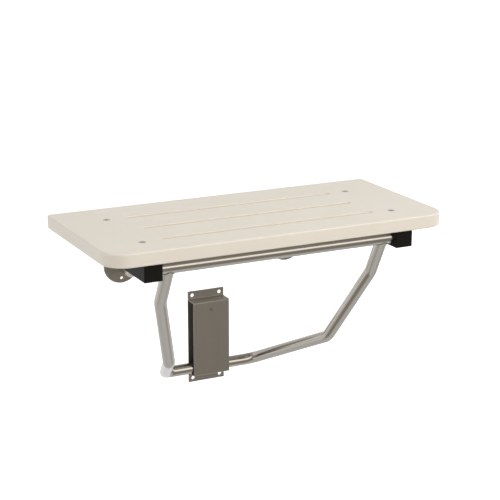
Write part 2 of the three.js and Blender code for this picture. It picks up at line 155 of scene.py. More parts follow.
def add_node(tree, kind, settings=(), links=()):
    """Adds a node, sets its properties or input values by name, and links its inputs."""
    node = tree.nodes.new(kind)
    for name, value in dict(settings).items():
        if hasattr(node, name):
            setattr(node, name, value)
        else:
            node.inputs[name].default_value = value
    for name, socket in dict(links).items():
        tree.links.new(socket, node.inputs[name])
    return node


def blank_finish(name):
    """A new material with its shader node, ready for values and links."""
    material = bpy.data.materials.new(name)
    material.use_nodes = True
    tree = material.node_tree
    return material, tree, tree.nodes["Principled BSDF"]


def moulded_cream_abs():
    """Cream ABS from a polished mould: an even satin face with a faint orange-peel ripple and soft
    differences of tone where the melt flowed."""
    material, tree, shader = blank_finish("moulded_cream_abs")
    shader.inputs["IOR"].default_value = 1.53
    place = add_node(tree, "ShaderNodeTexCoord")
    # Flow marks about 120 mm across.
    flow = add_node(tree, "ShaderNodeTexNoise", {"Scale": 1 / 0.12, "Detail": 2.0, "Roughness": 0.45},
                    {"Vector": place.outputs["Object"]})
    tone = add_node(tree, "ShaderNodeMix", {"data_type": "RGBA"}, {"Factor": flow.outputs["Fac"]})
    tone.inputs["A"].default_value = linear("#e1dace")
    tone.inputs["B"].default_value = linear("#e8e1d7")
    # Painted shade: the grooves are coloured a little darker than the face, where their walls lie in
    # shade.
    spot = add_node(tree, "ShaderNodeSeparateXYZ", (), {"Vector": place.outputs["Object"]})
    in_groove = None
    for axis, middle, reach in (
        ("X", 0, (GROOVE_LENGTH + GROOVE_WIDTH) / 2),
        ("Y", BOARD_LOW.y + GROOVE_INSET + GROOVE_PITCH, GROOVE_PITCH + GROOVE_WIDTH),
        ("Z", BOARD_HIGH.z - 2.2 * MM, 1.8 * MM),
    ):
        within = add_node(tree, "ShaderNodeMath", {"operation": "COMPARE"}, {0: spot.outputs[axis]})
        within.inputs[1].default_value = middle
        within.inputs[2].default_value = reach
        if in_groove:
            within = add_node(tree, "ShaderNodeMath", {"operation": "MULTIPLY"},
                              {0: in_groove.outputs["Value"], 1: within.outputs["Value"]})
        in_groove = within
    painted_groove_shade = add_node(tree, "ShaderNodeMix", {"data_type": "RGBA"},
                      {"Factor": in_groove.outputs["Value"], "A": tone.outputs["Result"]})
    # The darker groove colour is painted shade.
    painted_groove_shade.inputs["B"].default_value = linear("#d5ccbf")
    tree.links.new(painted_groove_shade.outputs["Result"], shader.inputs["Base Color"])
    # Orange peel with a real grain near 0.8 mm, drawn at 2.5 mm so that it shows.
    peel = add_node(tree, "ShaderNodeTexNoise", {"Scale": 1 / 0.0025, "Detail": 2.0},
                    {"Vector": place.outputs["Object"]})
    gloss = add_node(tree, "ShaderNodeMapRange", {"To Min": 0.30, "To Max": 0.40},
                     {"Value": peel.outputs["Fac"]})
    tree.links.new(gloss.outputs["Result"], shader.inputs["Roughness"])
    bump = add_node(tree, "ShaderNodeBump", {"Strength": 0.05, "Distance": 0.0003},
                    {"Height": peel.outputs["Fac"]})
    tree.links.new(bump.outputs["Normal"], shader.inputs["Normal"])
    return material


def moulded_black_nylon():
    """Black glass-filled nylon from a spark-eroded mould: matt and finely grained, with lighter
    scuffs of wear."""
    material, tree, shader = blank_finish("moulded_black_nylon")
    shader.inputs["IOR"].default_value = 1.53
    shader.inputs["Specular IOR Level"].default_value = 0.12
    place = add_node(tree, "ShaderNodeTexCoord")
    # Scuffs about 15 mm across.
    scuff = add_node(tree, "ShaderNodeTexNoise", {"Scale": 1 / 0.015, "Detail": 4.0},
                     {"Vector": place.outputs["Object"]})
    tone = add_node(tree, "ShaderNodeMix", {"data_type": "RGBA"}, {"Factor": scuff.outputs["Fac"]})
    tone.inputs["A"].default_value = linear("#12100d")
    tone.inputs["B"].default_value = linear("#1a1815")
    tree.links.new(tone.outputs["Result"], shader.inputs["Base Color"])
    # Spark grain with a real size near 0.3 mm, drawn at 1.2 mm so that it shows.
    grain = add_node(tree, "ShaderNodeTexNoise", {"Scale": 1 / 0.0012, "Detail": 3.0},
                     {"Vector": place.outputs["Object"]})
    gloss = add_node(tree, "ShaderNodeMapRange", {"To Min": 0.42, "To Max": 0.58},
                     {"Value": grain.outputs["Fac"]})
    tree.links.new(gloss.outputs["Result"], shader.inputs["Roughness"])
    bump = add_node(tree, "ShaderNodeBump", {"Strength": 0.2, "Distance": 0.0002},
                    {"Height": grain.outputs["Fac"]})
    tree.links.new(bump.outputs["Normal"], shader.inputs["Normal"])
    return material


def belt_polished_tube():
    """Stainless tube polished with a belt along its length: clear bands of reflection, drawn out a
    little by fine lines that run along the tube."""
    material, tree, shader = blank_finish("belt_polished_tube")
    shader.inputs["Metallic"].default_value = 1.0
    lines = add_node(tree, "ShaderNodeUVMap", {"uv_map": "grain"})
    # Polishing lines with a real pitch near 0.1 mm, drawn 1.5 mm wide and 60 mm long so that they show.
    spread = add_node(tree, "ShaderNodeVectorMath", {"operation": "MULTIPLY"},
                      {0: lines.outputs["UV"]})
    spread.inputs[1].default_value = (1 / 0.06, 1 / 0.0015, 1)
    streak = add_node(tree, "ShaderNodeTexNoise", {"Scale": 1.0, "Detail": 3.0, "Roughness": 0.6},
                      {"Vector": spread.outputs["Vector"]})
    tone = add_node(tree, "ShaderNodeMix", {"data_type": "RGBA"}, {"Factor": streak.outputs["Fac"]})
    tone.inputs["A"].default_value = linear("#b8b3ab")
    tone.inputs["B"].default_value = linear("#c4c0b9")
    tree.links.new(tone.outputs["Result"], shader.inputs["Base Color"])
    gloss = add_node(tree, "ShaderNodeMapRange", {"To Min": 0.14, "To Max": 0.22},
                     {"Value": streak.outputs["Fac"]})
    tree.links.new(gloss.outputs["Result"], shader.inputs["Roughness"])
    bump = add_node(tree, "ShaderNodeBump", {"Strength": 0.04, "Distance": 0.0001},
                    {"Height": streak.outputs["Fac"]})
    tree.links.new(bump.outputs["Normal"], shader.inputs["Normal"])
    return material


def brushed_stainless_sheet():
    """Stainless sheet brushed up and down in one direction: satin, with soft upright streaks."""
    material, tree, shader = blank_finish("brushed_stainless_sheet")
    shader.inputs["Metallic"].default_value = 1.0
    place = add_node(tree, "ShaderNodeTexCoord")
    # Brush lines with a real pitch near 0.15 mm, drawn 1.6 mm wide and 80 mm long so that they show.
    spread = add_node(tree, "ShaderNodeVectorMath", {"operation": "MULTIPLY"},
                      {0: place.outputs["Object"]})
    spread.inputs[1].default_value = (1 / 0.0016, 1 / 0.0016, 1 / 0.08)
    streak = add_node(tree, "ShaderNodeTexNoise", {"Scale": 1.0, "Detail": 3.0, "Roughness": 0.6},
                      {"Vector": spread.outputs["Vector"]})
    tone = add_node(tree, "ShaderNodeMix", {"data_type": "RGBA"}, {"Factor": streak.outputs["Fac"]})
    tone.inputs["A"].default_value = linear("#a19c95")
    tone.inputs["B"].default_value = linear("#aca7a0")
    tree.links.new(tone.outputs["Result"], shader.inputs["Base Color"])
    gloss = add_node(tree, "ShaderNodeMapRange", {"To Min": 0.37, "To Max": 0.45},
                     {"Value": streak.outputs["Fac"]})
    tree.links.new(gloss.outputs["Result"], shader.inputs["Roughness"])
    bump = add_node(tree, "ShaderNodeBump", {"Strength": 0.05, "Distance": 0.0001},
                    {"Height": streak.outputs["Fac"]})
    tree.links.new(bump.outputs["Normal"], shader.inputs["Normal"])
    return material


def weld_metal():
    """Stainless weld left as laid and lightly brushed: duller than the tube, with a straw tint."""
    material, tree, shader = blank_finish("weld_metal")
    shader.inputs["Metallic"].default_value = 1.0
    place = add_node(tree, "ShaderNodeTexCoord")
    # Heat tint in patches about 4 mm across.
    tint = add_node(tree, "ShaderNodeTexNoise", {"Scale": 1 / 0.004, "Detail": 2.0},
                    {"Vector": place.outputs["Object"]})
    tone = add_node(tree, "ShaderNodeMix", {"data_type": "RGBA"}, {"Factor": tint.outputs["Fac"]})
    tone.inputs["A"].default_value = linear("#96897a")
    tone.inputs["B"].default_value = linear("#a6a096")
    tree.links.new(tone.outputs["Result"], shader.inputs["Base Color"])
    gloss = add_node(tree, "ShaderNodeMapRange", {"To Min": 0.32, "To Max": 0.45},
                     {"Value": tint.outputs["Fac"]})
    tree.links.new(gloss.outputs["Result"], shader.inputs["Roughness"])
    return material


def turned_stainless():
    """Stainless turned and pressed into fasteners: bright and smooth, with faint tool marks."""
    material, tree, shader = blank_finish("turned_stainless")
    shader.inputs["Metallic"].default_value = 1.0
    place = add_node(tree, "ShaderNodeTexCoord")
    # Tool marks about 1 mm apart.
    marks = add_node(tree, "ShaderNodeTexNoise", {"Scale": 1 / 0.001, "Detail": 2.0},
                     {"Vector": place.outputs["Object"]})
    tone = add_node(tree, "ShaderNodeMix", {"data_type": "RGBA"}, {"Factor": marks.outputs["Fac"]})
    tone.inputs["A"].default_value = linear("#bdb9b3")
    tone.inputs["B"].default_value = linear("#cac6c0")
    tree.links.new(tone.outputs["Result"], shader.inputs["Base Color"])
    gloss = add_node(tree, "ShaderNodeMapRange", {"To Min": 0.24, "To Max": 0.36},
                     {"Value": marks.outputs["Fac"]})
    tree.links.new(gloss.outputs["Result"], shader.inputs["Roughness"])
    return material


def dulled_rivet_steel():
    """The head of a set rivet: stainless dulled by the setting tool, darker than the sheet."""
    material, tree, shader = blank_finish("dulled_rivet_steel")
    shader.inputs["Metallic"].default_value = 1.0
    place = add_node(tree, "ShaderNodeTexCoord")
    # Marks of the setting tool about 1.5 mm across.
    marks = add_node(tree, "ShaderNodeTexNoise", {"Scale": 1 / 0.0015, "Detail": 2.0},
                     {"Vector": place.outputs["Object"]})
    tone = add_node(tree, "ShaderNodeMix", {"data_type": "RGBA"}, {"Factor": marks.outputs["Fac"]})
    tone.inputs["A"].default_value = linear("#8d8881")
    tone.inputs["B"].default_value = linear("#98938c")
    tree.links.new(tone.outputs["Result"], shader.inputs["Base Color"])
    gloss = add_node(tree, "ShaderNodeMapRange", {"To Min": 0.28, "To Max": 0.36},
                     {"Value": marks.outputs["Fac"]})
    tree.links.new(gloss.outputs["Result"], shader.inputs["Roughness"])
    return material


def rolled_spring_steel():
    """Cold-rolled spring strip: grey and slightly blue, with fine lines along the strip."""
    material, tree, shader = blank_finish("rolled_spring_steel")
    shader.inputs["Metallic"].default_value = 1.0
    place = add_node(tree, "ShaderNodeTexCoord")
    # Rolling lines 1 mm wide and 30 mm long.
    spread = add_node(tree, "ShaderNodeVectorMath", {"operation": "MULTIPLY"},
                      {0: place.outputs["Object"]})
    spread.inputs[1].default_value = (1 / 0.001, 1 / 0.001, 1 / 0.03)
    streak = add_node(tree, "ShaderNodeTexNoise", {"Scale": 1.0, "Detail": 2.0},
                      {"Vector": spread.outputs["Vector"]})
    tone = add_node(tree, "ShaderNodeMix", {"data_type": "RGBA"}, {"Factor": streak.outputs["Fac"]})
    tone.inputs["A"].default_value = linear("#7d8084")
    tone.inputs["B"].default_value = linear("#8f9091")
    tree.links.new(tone.outputs["Result"], shader.inputs["Base Color"])
    gloss = add_node(tree, "ShaderNodeMapRange", {"To Min": 0.22, "To Max": 0.34},
                     {"Value": streak.outputs["Fac"]})
    tree.links.new(gloss.outputs["Result"], shader.inputs["Roughness"])
    return material


CREAM_ABS = moulded_cream_abs()
BLACK_NYLON = moulded_black_nylon()
POLISHED_TUBE = belt_polished_tube()
BRUSHED_SHEET = brushed_stainless_sheet()
WELD_METAL = weld_metal()
TURNED_STEEL = turned_stainless()
DULLED_RIVET = dulled_rivet_steel()
SPRING_STEEL = rolled_spring_steel()


# ------------------------------------------------------------------ mesh making

def bridge(bm, first, second):
    """Quads between two rings of vertices with the same count."""
    count = len(first)
    for i in range(count):
        j = (i + 1) % count
        bm.faces.new((first[i], first[j], second[j], second[i]))


def fill(bm, rings):
    """A flat face inside the first ring, with the other rings as holes in it."""
    edges = []
    for ring in rings:
        edges += [bm.edges.get((ring[i - 1], ring[i])) or bm.edges.new((ring[i - 1], ring[i]))
                  for i in range(len(ring))]
    bmesh.ops.triangle_fill(bm, edges=edges, use_beauty=True)


def ring_of(bm, points, height):
    return [bm.verts.new((x, y, height)) for x, y in points]


def finish_mesh(bm, name, material, sharp=SHARP_ANGLE):
    """Turns a bmesh into an object with clean normals: smooth faces, sharp where they meet steeply."""
    bmesh.ops.recalc_face_normals(bm, faces=bm.faces)
    mesh = bpy.data.meshes.new(name)
    bm.to_mesh(mesh)
    bm.free()
    mesh.shade_smooth()
    mesh.set_sharp_from_angle(angle=sharp)
    mesh.materials.append(material)
    piece = bpy.data.objects.new(name, mesh)
    bpy.context.scene.collection.objects.link(piece)
    return piece


def weigh_normals(piece):
    """Keeps large flat faces flat beside their rounded edges."""
    weighted = piece.modifiers.new("flat_faces", "WEIGHTED_NORMAL")
    weighted.keep_sharp = True
    return piece


def carve(piece, cutters):
    """Cuts other objects out of a piece and removes them."""
    for cutter in cutters:
        cut = piece.modifiers.new("cut", "BOOLEAN")
        cut.object = cutter
        cut.solver = "EXACT"
    bpy.context.view_layer.update()
    carved = piece.evaluated_get(bpy.context.evaluated_depsgraph_get())
    mesh = bpy.data.meshes.new_from_object(carved)
    piece.modifiers.clear()
    piece.data = mesh
    mesh.shade_smooth()
    mesh.set_sharp_from_angle(angle=SHARP_ANGLE)
    for cutter in cutters:
        bpy.data.objects.remove(cutter)
    return piece


def soften(piece, width):
    """Breaks a piece's sharp edges by a small rounding."""
    rounding = piece.modifiers.new("broken_edges", "BEVEL")
    rounding.width = width
    rounding.segments = 2
    rounding.limit_method = "ANGLE"
    rounding.angle_limit = math.radians(40)
    rounding.harden_normals = False
    return piece


def place(piece, body, slot, *nodes):
    """Hangs a finished piece on its body and hides the plain nodes it stands for. The slot is not used."""
    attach(piece, body)
    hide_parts(*nodes)
    return piece


def circle(centre, radius, count=48):
    turns = [2 * math.pi * i / count for i in range(count)]
    return [(centre[0] + radius * math.cos(t), centre[1] + radius * math.sin(t)) for t in turns]


def stadium(centre, half_run, radius, count=16):
    """A round-ended outline along X."""
    points = []
    for side, start in ((1, -math.pi / 2), (-1, math.pi / 2)):
        for i in range(count + 1):
            turn = start + math.pi * i / count
            x = centre[0] + side * half_run + radius * math.cos(turn)
            points.append((x, centre[1] + radius * math.sin(turn)))
    return points


def rounded_box_outline(low, high, front_corner, rear_corner, inset, count=14):
    """An outline with its two front corners and two rear corners rounded, moved in by inset."""
    corners = [
        (high.x - rear_corner, high.y - rear_corner, rear_corner, 0),
        (low.x + rear_corner, high.y - rear_corner, rear_corner, 1),
        (low.x + front_corner, low.y + front_corner, front_corner, 2),
        (high.x - front_corner, low.y + front_corner, front_corner, 3),
    ]
    points = []
    for x, y, corner, quarter in corners:
        for i in range(count + 1):
            turn = (quarter + i / count) * math.pi / 2
            reach = corner - inset
            points.append((x + reach * math.cos(turn), y + reach * math.sin(turn)))
    return points


def plate(outline, low, high, top_edge, bottom_edge, openings, steps=6):
    """A flat plate with rounded edges. outline(inset) gives its points. Each opening is a ring
    function and a profile of (radius, height) from the top face down; one that ends above the
    bottom face is closed there."""
    bm = bmesh.new()
    rings = []
    for i in range(steps + 1):
        turn = math.pi / 2 * i / steps
        inset = bottom_edge * (1 - math.sin(turn))
        rings.append(ring_of(bm, outline(inset), low + bottom_edge * (1 - math.cos(turn))))
    for i in range(steps + 1):
        turn = math.pi / 2 * i / steps
        inset = top_edge * (1 - math.cos(turn))
        rings.append(ring_of(bm, outline(inset), high - top_edge * (1 - math.sin(turn))))
    for first, second in zip(rings, rings[1:]):
        bridge(bm, first, second)
    top_rings = [rings[-1]]
    bottom_rings = [rings[0]]
    for ring, profile in openings:
        levels = [ring_of(bm, ring(radius), height) for radius, height in profile]
        for first, second in zip(levels, levels[1:]):
            bridge(bm, first, second)
        top_rings.append(levels[0])
        if profile[-1][1] > low + 1e-6:
            bm.faces.new(levels[-1])
        else:
            bottom_rings.append(levels[-1])
    fill(bm, top_rings)
    fill(bm, bottom_rings)
    return bm


def turned(profile, count=48):
    """A turned solid about Z. profile is (radius, height) points; a radius of 0 closes an end, and
    a profile that starts off the axis joins its own start."""
    bm = bmesh.new()
    levels = []
    for radius, height in profile:
        if radius == 0:
            levels.append([bm.verts.new((0, 0, height))])
        else:
            levels.append(ring_of(bm, circle((0, 0), radius, count), height))
    closed = len(levels[0]) > 1
    for first, second in zip(levels, levels[1:] + levels[:1] * closed):
        if len(first) == 1 or len(second) == 1:
            tip, ring = (first[0], second) if len(first) == 1 else (second[0], first)
            for i in range(count):
                bm.faces.new((ring[i], ring[(i + 1) % count], tip))
        else:
            bridge(bm, first, second)
    return bm


def moved(bm, matrix):
    bmesh.ops.transform(bm, matrix=matrix, verts=bm.verts)
    return bm


def turned_towards(direction, place_at):
    """The matrix that turns +Z to a direction and moves the origin to a place."""
    turn = Vector((0, 0, 1)).rotation_difference(Vector(direction)).to_matrix().to_4x4()
    return Matrix.Translation(place_at) @ turn


# ------------------------------------------------------------------ bent tube

def bent_line(corners, bends):
    """Stations of (point, direction) along straight runs joined by round bends."""
    stations = [(corners[0], (corners[1] - corners[0]).normalized())]
    for i, bend in enumerate(bends, 1):
        into = (corners[i] - corners[i - 1]).normalized()
        out = (corners[i + 1] - corners[i]).normalized()
        angle = into.angle(out)
        inward = (out - into * into.dot(out)).normalized()
        start = corners[i] - into * bend * math.tan(angle / 2)
        steps = math.ceil(angle / BEND_STEP)
        for k in range(steps + 1):
            turn = angle * k / steps
            point = start + into * bend * math.sin(turn) + inward * bend * (1 - math.cos(turn))
            stations.append((point, into * math.cos(turn) + inward * math.sin(turn)))
    stations.append((corners[-1], (corners[-1] - corners[-2]).normalized()))
    return stations


def run_frames(stations, first_side):
    """Two directions across the line at each station, carried along it without twist."""
    side = first_side
    frames = []
    for _, along in stations:
        side = (side - along * side.dot(along)).normalized()
        frames.append((side, along.cross(side)))
    return frames


def sweep_rings(bm, stations, frames, radius, count):
    rings = []
    for (point, _), (side, other) in zip(stations, frames):
        ring = []
        for k in range(count):
            turn = 2 * math.pi * k / count
            spot = point + side * radius * math.cos(turn) + other * radius * math.sin(turn)
            ring.append(bm.verts.new(spot))
        rings.append(ring)
    return rings


def swept_tube(name, stations, first_side=Vector((0, 0, 1)), count=56):
    """A hollow tube along the stations, with a map called grain: metres along and metres round."""
    bm = bmesh.new()
    grain = bm.loops.layers.uv.new("grain")
    frames = run_frames(stations, first_side)
    outer = sweep_rings(bm, stations, frames, TUBE_RADIUS, count)
    inner = sweep_rings(bm, stations, frames, TUBE_RADIUS - TUBE_WALL, count)
    run = [0.0]
    for (a, _), (b, _) in zip(stations, stations[1:]):
        run.append(run[-1] + (b - a).length)
    around = 2 * math.pi * TUBE_RADIUS / count
    for rings in (outer, inner):
        for i in range(len(rings) - 1):
            for k in range(count):
                m = (k + 1) % count
                face = bm.faces.new((rings[i][k], rings[i][m], rings[i + 1][m], rings[i + 1][k]))
                spots = ((run[i], k), (run[i], k + 1), (run[i + 1], k + 1), (run[i + 1], k))
                for corner, (u, v) in zip(face.loops, spots):
                    corner[grain].uv = (u, v * around)
    bridge(bm, outer[0], inner[0])
    bridge(bm, outer[-1], inner[-1])
    return finish_mesh(bm, name, POLISHED_TUBE)


def weld_bead(name, points, count=10):
    """A closed weld bead through the points, with a ripple for each drop of the filler."""
    total = sum((points[i] - points[i - 1]).length for i in range(len(points)))
    drops = round(total / WELD_RIPPLE)
    bm = bmesh.new()
    rings = []
    size = len(points)
    middle = sum(points, Vector()) / size
    for i, point in enumerate(points):
        along = (points[(i + 1) % size] - points[i - 1]).normalized()
        out = point - middle
        out = (out - along * out.dot(along)).normalized()
        up = along.cross(out)
        swell = WELD_RADIUS * (1 + 0.12 * math.sin(2 * math.pi * drops * i / size))
        ring = []
        for k in range(count):
            turn = 2 * math.pi * k / count
            spot = point + out * swell * math.cos(turn) + up * swell * math.sin(turn)
            ring.append(bm.verts.new(spot))
        rings.append(ring)
    for i in range(size):
        bridge(bm, rings[i - 1], rings[i])
    return finish_mesh(bm, name, WELD_METAL, sharp=math.radians(80))


def saddle_points(start, direction, header, count=220):
    """Where a tube that runs from start along direction meets a header tube along X. Both tubes have
    the same radius, so the line is taken just inside the first one's sides, where it stays whole."""
    within = 0.985
    direction = direction.normalized()
    side = Vector((1, 0, 0))
    side = (side - direction * side.dot(direction)).normalized()
    other = direction.cross(side)
    points = []
    for k in range(count):
        turn = 2 * math.pi * k / count
        across = side * math.cos(turn) + other * within * math.sin(turn)
        spot = start + across * TUBE_RADIUS
        away = Vector((0, spot.y - header.y, spot.z - header.z))
        run = Vector((0, direction.y, direction.z))
        a = run.dot(run)
        b = 2 * away.dot(run)
        c = away.dot(away) - TUBE_RADIUS ** 2
        reach = (-b - math.sqrt(max(b * b - 4 * a * c, 0))) / (2 * a)
        points.append(spot + direction * reach)
    return points


# ------------------------------------------------------------------ seat board

def groove_opening(row):
    """A round-bottomed drainage groove: its ring function and its profile."""
    y = BOARD_LOW.y + GROOVE_INSET + row * GROOVE_PITCH
    radius = GROOVE_WIDTH / 2
    half_run = GROOVE_LENGTH / 2 - radius
    steps = 7
    # The floor stays flat over the middle quarter, where the two rounded walls meet it.
    floor_share = 0.25
    profile = []
    for i in range(4):
        turn = math.pi / 2 * i / 4
        reach = radius + GROOVE_LIP * (1 - math.sin(turn))
        profile.append((reach, BOARD_HIGH.z - GROOVE_LIP * (1 - math.cos(turn))))
    for i in range(steps + 1):
        turn = math.pi / 2 * i / steps
        depth = GROOVE_LIP + (GROOVE_DEPTH - GROOVE_LIP) * math.sin(turn)
        reach = radius * (floor_share + (1 - floor_share) * math.cos(turn))
        profile.append((reach, BOARD_HIGH.z - depth))
    return lambda reach: stadium((0, y), half_run, reach), profile


def screw_opening(spot):
    """A countersunk screw hole through the board, its rim rounded over."""
    rim = SCREW_HEAD + HOLE_GAP
    hole = SCREW_SHANK + HOLE_GAP
    top = BOARD_HIGH.z
    profile = [
        (rim + 0.6 * MM, top),
        (rim + 0.15 * MM, top - 0.15 * MM),
        (rim - 0.1 * MM, top - 0.6 * MM),
        (hole, top - (rim - hole) - 0.5 * MM),
        (hole, BOARD_LOW.z),
    ]
    return lambda reach: circle(spot, reach, 40), profile


def screw_spots():
    """The four seat screws' places on the board, from their boxes."""
    spots = {}
    for row in ("front", "rear"):
        for side in ("left", "right"):
            low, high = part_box(f"seat_screw_{row}_{side}")
            spots[f"{row}_{side}"] = ((low.x + high.x) / 2, (low.y + high.y) / 2)
    return spots


SCREW_SPOTS = screw_spots()


def seat_board():
    openings = [groove_opening(row) for row in range(3)]
    openings += [screw_opening(spot) for spot in SCREW_SPOTS.values()]
    bm = plate(
        lambda inset: rounded_box_outline(BOARD_LOW, BOARD_HIGH, FRONT_CORNER, REAR_CORNER, inset),
        BOARD_LOW.z, BOARD_HIGH.z, BOARD_EDGE, BOARD_EDGE, openings,
    )
    board = weigh_normals(finish_mesh(bm, "drained_board", CREAM_ABS))
    place(board, "seat", "cream_plastic", "seat_board")


# ------------------------------------------------------------------ rails

def bore_cutter(mouth, inward, depth):
    """A blind bore with a flared mouth, cut from a rail's inner face towards its middle. The cutter
    starts a little outside the face, so that the cut is clean."""
    radius = TUBE_RADIUS + BORE_GAP
    outside = 2 * MM
    profile = [(0, -outside), (radius + BORE_FLARE + outside, -outside), (radius + BORE_FLARE, 0)]
    for i in range(1, 5):
        turn = math.pi / 2 * i / 4
        profile.append((radius + BORE_FLARE * (1 - math.sin(turn)), BORE_FLARE * (1 - math.cos(turn))))
    profile += [(radius, depth), (0, depth)]
    bm = moved(turned(profile, 64), turned_towards((inward, 0, 0), mouth))
    return finish_mesh(bm, "bore", BLACK_NYLON)


def rail(side, sign):
    low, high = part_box(f"rail_{side}")
    _, washer_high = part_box(f"seat_washer_front_{side}")
    openings = []
    for name, spot in SCREW_SPOTS.items():
        if name.endswith(side):
            hole = SCREW_SHANK + HOLE_GAP
            profile = [(hole, high.z), (hole, washer_high.z), (RECESS_RADIUS, washer_high.z),
                       (RECESS_RADIUS, low.z + 0.5 * MM), (RECESS_RADIUS + 0.5 * MM, low.z)]
            openings.append((lambda reach, spot=spot: circle(spot, reach, 36), profile))
    bm = plate(
        lambda inset: rounded_box_outline(low, high, RAIL_CORNER, RAIL_CORNER, inset, 6),
        low.z, high.z, RAIL_EDGE, RAIL_EDGE, openings, 4,
    )
    piece = finish_mesh(bm, f"moulded_rail_{side}", BLACK_NYLON)
    inner = low.x if sign > 0 else high.x
    tube_end = REAR_TUBE_HIGH.x if sign > 0 else REAR_TUBE_LOW.x
    depth = abs(tube_end - inner) + 0.5 * MM
    mouths = [Vector((inner, axis.y, axis.z)) for axis in (FRONT_AXIS, HINGE_AXIS)]
    cutters = [bore_cutter(mouth, sign, depth) for mouth in mouths]
    weigh_normals(carve(piece, cutters))
    place(piece, "seat", "black_nylon", f"rail_{side}")


# ------------------------------------------------------------------ fasteners

def cross_recess_cutters(spot, height):
    """The two tapered blades of a cross recess."""
    # Half length, half width and depth of a blade in millimetres, from its tip to above the head.
    levels_mm = ((0.6, 0.6, 3.4), (3.2, 0.8, 0.0), (3.4, 0.85, -1.5))
    cutters = []
    for turn in (0, math.pi / 2):
        bm = bmesh.new()
        levels = []
        for half_length, half_width, depth in levels_mm:
            corners = ((1, 1), (-1, 1), (-1, -1), (1, -1))
            points = [(x * half_length * MM, y * half_width * MM) for x, y in corners]
            levels.append(ring_of(bm, points, height - depth * MM))
        bridge(bm, levels[0], levels[1])
        bridge(bm, levels[1], levels[2])
        bm.faces.new(levels[0])
        bm.faces.new(levels[2])
        moved(bm, Matrix.Translation((spot[0], spot[1], 0)) @ Matrix.Rotation(turn, 4, "Z"))
        cutters.append(finish_mesh(bm, "recess", TURNED_STEEL))
    return cutters


def seat_screw(name, spot):
    """An oval countersunk screw with a cross recess and a threaded end."""
    low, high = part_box(f"seat_screw_{name}")
    top = high.z
    rim = BOARD_HIGH.z
    dome = top - rim
    # The dome ends just short of the head's edge.
    dome_share = 0.985
    profile = [(0, top)]
    for i in range(1, 7):
        reach = i / 6
        profile.append((SCREW_HEAD * reach * dome_share, rim + dome * (1 - reach ** 2)))
    neck = rim - SCREW_HEAD_RIM - (SCREW_HEAD - SCREW_SHANK)
    profile += [(SCREW_HEAD, rim - SCREW_HEAD_RIM), (SCREW_SHANK, neck)]
    height = low.z + THREAD_TURNS * THREAD_PITCH
    while height > low.z + THREAD_PITCH:
        profile += [(SCREW_SHANK, height), (SCREW_SHANK - THREAD_DEPTH, height - THREAD_PITCH / 2)]
        height -= THREAD_PITCH
    profile += [(SCREW_SHANK - 0.5 * MM, low.z), (0, low.z)]
    bm = moved(turned(profile, 40), Matrix.Translation((spot[0], spot[1], 0)))
    piece = finish_mesh(bm, f"oval_screw_{name}", TURNED_STEEL)
    weigh_normals(carve(piece, cross_recess_cutters(spot, top)))
    place(piece, "seat", "plain_steel", f"seat_screw_{name}")


def seat_washer(name, spot):
    low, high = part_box(f"seat_washer_{name}")
    outer = (high.x - low.x) / 2
    inner = SCREW_SHANK + HOLE_GAP
    lip = 0.2 * MM
    profile = [(inner, low.z), (outer - lip, low.z), (outer, low.z + lip), (outer, high.z - lip),
               (outer - lip, high.z), (inner, high.z)]
    bm = moved(turned(profile, 40), Matrix.Translation((spot[0], spot[1], 0)))
    piece = finish_mesh(bm, f"flat_washer_{name}", TURNED_STEEL)
    place(piece, "seat", "plain_steel", f"seat_washer_{name}")


def seat_nut(name, spot):
    """A hexagon nut, its corners turned off at 30 degrees."""
    low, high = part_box(f"seat_nut_{name}")
    flat = NUT_ACROSS_FLATS / 2
    inner = SCREW_SHANK + HOLE_GAP
    lip = 0.4 * MM
    count = 48
    bm = bmesh.new()
    turns = [2 * math.pi * i / count for i in range(count)]
    hexagon = [flat / math.cos((t + math.pi / 6) % (math.pi / 3) - math.pi / 6) for t in turns]
    chamfer = [max(reach - flat * NUT_FACE, 0) * math.tan(math.radians(30)) for reach in hexagon]

    def level(reaches, heights):
        return [bm.verts.new((spot[0] + r * math.cos(t), spot[1] + r * math.sin(t), z))
                for t, r, z in zip(turns, reaches, heights)]

    rings = [
        level([inner + lip] * count, [low.z] * count),
        level([flat * NUT_FACE] * count, [low.z] * count),
        level(hexagon, [low.z + c for c in chamfer]),
        level(hexagon, [high.z - c for c in chamfer]),
        level([flat * NUT_FACE] * count, [high.z] * count),
        level([inner + lip] * count, [high.z] * count),
        level([inner] * count, [high.z - lip] * count),
        level([inner] * count, [low.z + lip] * count),
    ]
    for i, ring in enumerate(rings):
        bridge(bm, rings[i - 1], ring)
    piece = finish_mesh(bm, f"hex_nut_{name}", TURNED_STEEL)
    place(piece, "seat", "plain_steel", f"seat_nut_{name}")


# ------------------------------------------------------------------ wall flanges, arms and rear tube

def wall_flange(side):
    """A round flange with a rolled rim and three wall holes."""
    low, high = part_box(f"wall_flange_{side}")
    centre = Vector(((low.x + high.x) / 2, high.y, (low.z + high.z) / 2))
    radius = (high.x - low.x) / 2
    thickness = high.y - low.y
    openings = []
    for i in range(3):
        turn = -math.pi / 2 + 2 * math.pi * i / 3
        spot = (FLANGE_HOLE_CIRCLE * math.cos(turn), FLANGE_HOLE_CIRCLE * math.sin(turn))
        rim = 0.6 * MM
        profile = [(FLANGE_HOLE + rim, thickness), (FLANGE_HOLE, thickness - rim), (FLANGE_HOLE, 0)]
        openings.append((lambda reach, spot=spot: circle(spot, reach, 32), profile))
    bm = plate(
        lambda inset: circle((0, 0), radius - inset, 96),
        0, thickness, FLANGE_RIM, FLANGE_BACK_EDGE, openings,
    )
    # The plate is built facing up; it is stood up to face the room.
    moved(bm, Matrix.Translation(centre) @ Matrix.Rotation(math.pi / 2, 4, "X"))
    piece = weigh_normals(finish_mesh(bm, f"round_flange_{side}", BRUSHED_SHEET))
    place(piece, "root", "satin_plate", f"wall_flange_{side}")


